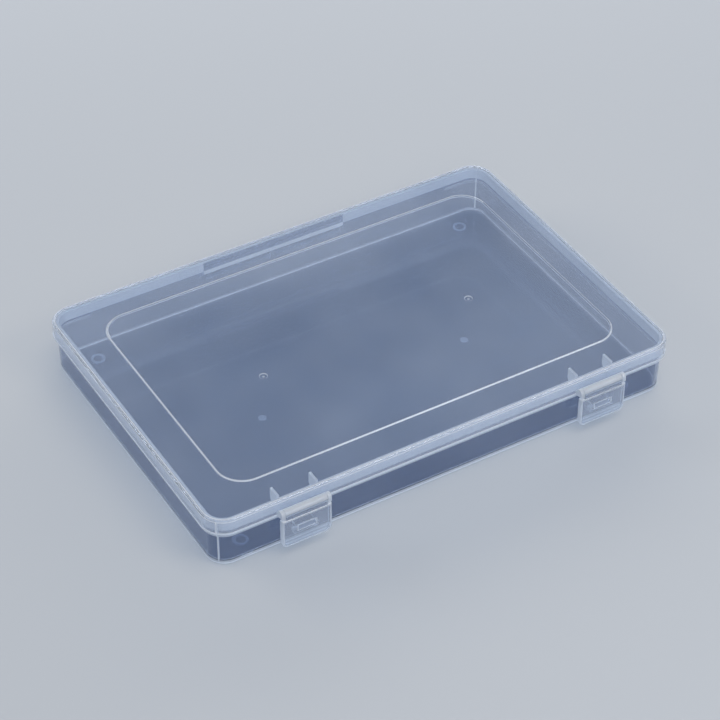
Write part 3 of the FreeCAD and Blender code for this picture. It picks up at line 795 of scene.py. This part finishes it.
def on_painted_rod_highlight(point, normal):
    """Two painted highlight lines along the hinge rod, where its clear bar gathers the light."""
    on_rod = math.hypot(point.y - hinge_y, point.z - hinge_z) < ROD_RADIUS + SLACK
    return on_rod and normal.y * normal.z > ROD_LINE


def on_lug(point, normal):
    """The lugs at both ends of the rod."""
    return near_hinge(point) and abs(point.x) > LUG_START - SLACK


print("hinge axis at y", round(hinge_y, 2), "and z", round(hinge_z, 2))

# %% Lid moulding
lid = moulding_from("lid")
round_edges(lid, FINE_EDGE, near_hinge)
round_edges(lid, MOULD_EDGE, on_plain_wall)
split_corners(lid)

# %% Lid, painted highlight line along the panel's back
QUITE_FLAT = 0.9999
PANEL_LINE = 0.4
PANEL_BACK = 50
panel = [face for face in lid.faces
         if face.normal.z > QUITE_FLAT and all(vert.co.z / MM > lid_high.z - SLACK for vert in face.verts)]
border = bmesh.ops.inset_region(
    lid, faces=panel, thickness=PANEL_LINE * MM, use_even_offset=True, use_boundary=True)["faces"]
lid.faces.index_update()
painted_back_highlight = {face.index for face in border if face.calc_center_median().y / MM > PANEL_BACK}
print("panel of", len(panel), "faces, with", len(painted_back_highlight), "strips along its back edge")

# %% Lid, finish
# Milk by place; the panel slope, the top round's lines, the corners and the rod lines are painted
# highlights.
LID_MILK_AND_PAINTED_HIGHLIGHTS = [
    (on_painted_panel_slope_highlight, WHITE), (on_top_round, at_least(0.15)), (on_upper_painted_round_highlight, WHITE),
    (on_lower_painted_round_highlight, at_least(0.8)), (on_skirt, at_least(0.12)), (on_bead, WHITE), (on_fin, WHITE),
    (on_painted_corner_highlight, WHITE), (near_latch, WHITE), (near_hinge, at_least(0.1)), (on_painted_rod_highlight, WHITE),
    (on_lug, WHITE)]
store_finish(lid, LID_MILK_AND_PAINTED_HIGHLIGHTS, nowhere, painted_back_highlight)
finish_moulding(lid, "lid_moulding", "lid", "lid", lid_plastic)

# %% [markdown]
# ## Latches
# Each latch is a small plate with a barrel that snaps over a rod on the lid. The plate is thicker
# than the walls, so it is milkier, and the barrel is the whitest part of the case. The plate is
# inset like the lid's panel, and the strips of its outline are painted white as a highlight. The
# slot is a hole through the plate: its walls and the hook under it stay clear, so that it looks dark
# inside a fine white outline.

# %% Latch places
LATCH_SLOT_DROP = (10.0, 12.7)
HOOK_DROP = 14.8
HOOK_HALF = 6.15
BARREL_HEIGHT = 4.85
FACING = 0.95
SIDEWAYS = 0.2
latch_middle = (latch_low.x + latch_high.x) / 2
slot_low = latch_high.z - LATCH_SLOT_DROP[1]
slot_high = latch_high.z - LATCH_SLOT_DROP[0]
hook_low = latch_high.z - HOOK_DROP


def on_latch(point, normal):
    """The whole latch."""
    return True


def on_plate_edge(point, normal):
    """The sides, outline and ribs of the latch, which are seen along their length."""
    return abs(normal.y) < FACING


def along_slot(point):
    """True between the two ends of the slot."""
    return abs(abs(point.x) - latch_middle) < HOOK_HALF + SLACK


def in_slot(point, normal):
    """The walls of the slot, and the top of the hook that goes on from its lower wall."""
    level = slot_low - SLACK < point.z < slot_high + SLACK
    return along_slot(point) and level and abs(normal.y) < SIDEWAYS


def on_hook(point, normal):
    """The flat faces of the hook under the slot, which the eye looks through."""
    level = hook_low - SLACK < point.z < slot_low + SLACK
    return along_slot(point) and level and max(map(abs, normal)) > FACING


def on_barrel(point, normal):
    """The barrel that snaps on the lid's rod."""
    return point.z > latch_high.z - BARREL_HEIGHT


print("slot from", round(slot_low, 2), "to", round(slot_high, 2), "at", round(latch_middle, 2))

# %% Latch mouldings
LATCH_EDGE = 0.1
PLATE_LINE = 0.45
NECK_DROP = (5.7, 7.7)
LATCH_MILK = [
    (on_latch, at_least(0.04)), (on_plate_edge, WHITE), (on_barrel, WHITE), (in_slot, CLEAR),
    (on_hook, CLEAR)]


def off_the_neck(point):
    """True away from the neck under the barrel, where two ribs meet too closely for a round."""
    return not NECK_DROP[0] < latch_high.z - point.z < NECK_DROP[1]


for side in ("left", "right"):
    latch = moulding_from("latch_" + side)
    round_edges(latch, LATCH_EDGE, off_the_neck)
    plate = [face for face in latch.faces
             if face.normal.y < -QUITE_FLAT
             and all(vert.co.y / MM < latch_low.y + SLACK for vert in face.verts)]
    # The outline strips round the plate are painted white as a highlight.
    outline = bmesh.ops.inset_region(
        latch, faces=plate, thickness=PLATE_LINE * MM, use_even_offset=True, use_boundary=True)["faces"]
    latch.faces.index_update()
    print("plate of", len(plate), "faces, with an outline of", len(outline), "strips")
    store_finish(latch, LATCH_MILK, nowhere, {face.index for face in outline})
    finish_moulding(latch, f"latch_{side}_moulding", "latch_" + side, "latch_" + side, latch_plastic)

# %% [markdown]
# ## Floor
# A plain pale floor carries the case. A curved backdrop would do as well, but clear plastic shows
# whatever is behind it, and one large flat sheet gives it nothing to distort.

# %% Floor
FLOOR_SIZE = 6.0
FLOOR_DROP_MM = 0.02
FLOOR_COLOUR = "#B4B9C0"
FLOOR_ROUGHNESS = 0.6
floor_material = bpy.data.materials.new("pale_floor")
floor_material.use_nodes = True
floor_shader = floor_material.node_tree.nodes["Principled BSDF"]
floor_shader.inputs["Base Color"].default_value = linear(FLOOR_COLOUR)
floor_shader.inputs["Roughness"].default_value = FLOOR_ROUGHNESS
floor_mesh = bmesh.new()
bmesh.ops.create_grid(floor_mesh, x_segments=1, y_segments=1, size=FLOOR_SIZE)
bmesh.ops.translate(floor_mesh, verts=floor_mesh.verts, vec=(0, 0, -FLOOR_DROP_MM * MM))
floor_data = bpy.data.meshes.new("floor")
floor_mesh.to_mesh(floor_data)
floor_mesh.free()
floor = bpy.data.objects.new("floor", floor_data)
floor.data.materials.append(floor_material)
bpy.context.scene.collection.objects.link(floor)
print("floor of", 2 * FLOOR_SIZE, "m")

# %% [markdown]
# ## Light
# The light matters as much as the material, because clear plastic shows what surrounds it. A bare
# lamp would put a hard spot in every corner. Large soft boxes draw even lines along the rounded
# edges: one overhead, two low strips behind that shine through the folds, and two in front. The flat
# lid would mirror a large one as a white sheet from some sides, so only the small front light shows
# in reflections.

# %% Soft boxes


def softbox(name, azimuth, elevation, distance, width, height, power, mirrored=False):
    """Area light that faces the case from a place round it, and may show in its reflections."""
    data = bpy.data.lights.new(name, "AREA")
    data.shape = "RECTANGLE"
    data.size = width
    data.size_y = height
    data.energy = power
    light = bpy.data.objects.new(name, data)
    towards = direction(math.radians(azimuth), math.radians(elevation))
    light.location = VIEW_AIM + towards * distance
    light.rotation_euler = (-towards).to_track_quat("-Z", "Y").to_euler()
    light.visible_glossy = mirrored
    light.visible_transmission = mirrored
    bpy.context.scene.collection.objects.link(light)


softbox("overhead_light", azimuth=20, elevation=75, distance=1.3, width=1.0, height=0.8, power=13)
softbox("back_strip", azimuth=145, elevation=17, distance=1.2, width=1.6, height=0.25, power=19)
softbox("left_strip", azimuth=-136, elevation=23, distance=1.2, width=0.8, height=0.25, power=9)
softbox("front_light", azimuth=31, elevation=42, distance=1.2, width=0.5, height=0.3, power=5, mirrored=True)
softbox("fill_light", azimuth=-25, elevation=35, distance=1.4, width=0.8, height=0.6, power=6)
print("lights:", sorted(light.name for light in bpy.data.lights))

# %% Studio air and exposure
STUDIO_COLOUR = "#D5DBE4"
STUDIO_STRENGTH = 0.22
EXPOSURE = -0.6
world = bpy.data.worlds.new("studio")
world.use_nodes = True
world.node_tree.nodes["Background"].inputs["Color"].default_value = linear(STUDIO_COLOUR)
world.node_tree.nodes["Background"].inputs["Strength"].default_value = STUDIO_STRENGTH
bpy.context.scene.world = world
view = bpy.context.scene.view_settings
view.view_transform = "Standard"
view.exposure = EXPOSURE
print("view", view.view_transform, "at", round(view.exposure, 2))
